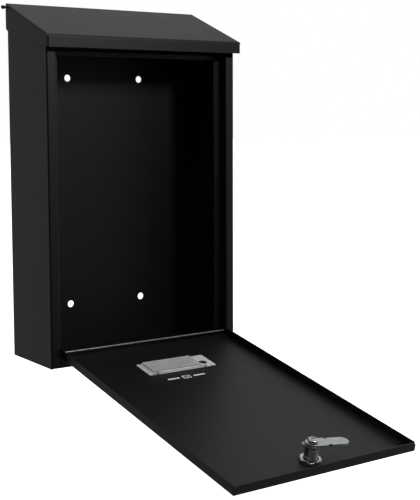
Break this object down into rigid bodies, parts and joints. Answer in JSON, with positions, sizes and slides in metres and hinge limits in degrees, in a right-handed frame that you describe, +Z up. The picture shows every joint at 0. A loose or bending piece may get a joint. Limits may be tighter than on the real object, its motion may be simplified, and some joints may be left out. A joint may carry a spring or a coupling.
{
  "type": "wall letterbox",
  "caption": "Wall-mounted sheet-steel drop box with a sloping lift-up lid and a drop-down front door closed by a cam lock.",
  "frame": {"origin": "centre of the four screw holes, on the rear face of the back panel, where the box meets the wall", "axes": "+Y into the wall, so the box stands out along -Y; +Z up; +X to the right seen from the front"},
  "size_m": [0.2276, 0.3596, 0.3972],
  "materials": {
    "powder_coat": "fine-textured satin black powder coat",
    "bare_steel": "drawn wire, dull",
    "black_plastic": "moulded black",
    "chrome": "bright nickel-chrome plate",
    "zinc_plate": "clear zinc plate, satin",
    "brass": "machined",
    "clear_plastic": "clear moulded",
    "card": "plain paper"
  },
  "bodies": {
    "body": {"back_panel": "powder_coat", "left_side_panel": "powder_coat", "right_side_panel": "powder_coat", "bottom_panel": "powder_coat", "top_front_rail": "powder_coat", "door_hinge_rod": "bare_steel", "lid_hinge_rod": "bare_steel", "lid_rod_cap": "black_plastic"},
    "lid": {"lid": "powder_coat"},
    "door": {"door_panel": "powder_coat", "name_holder": "clear_plastic", "name_card": "card", "name_cover": "clear_plastic", "lock_housing": "chrome", "lock_nut": "chrome"},
    "lock_core": {"lock_plug": "brass", "stop_washer": "zinc_plate", "cam": "zinc_plate", "spring_washer": "zinc_plate", "cam_screw": "chrome", "wafer_1": "brass", "wafer_2": "brass", "wafer_3": "brass", "wafer_4": "brass", "wafer_spring_1": "bare_steel", "wafer_spring_2": "bare_steel", "wafer_spring_3": "bare_steel", "wafer_spring_4": "bare_steel"}
  },
  "joints": [
    {"name": "lid_hinge", "type": "hinge", "parent": "body", "child": "lid", "pos_m": [0, -0.004, 0.18396], "axis": [-1, 0, 0], "range_deg": [0, 105]},
    {"name": "door_hinge", "type": "hinge", "parent": "body", "child": "door", "pos_m": [0, -0.0804, -0.1477], "axis": [-1, 0, 0], "range_deg": [0, 101.6]},
    {"name": "lock_turn", "type": "hinge", "parent": "door", "child": "lock_core", "pos_m": [-0.0035, -0.33852, -0.20069], "axis": [0, 0.2011, -0.9796], "range_deg": [-15, 75]}
  ]
}
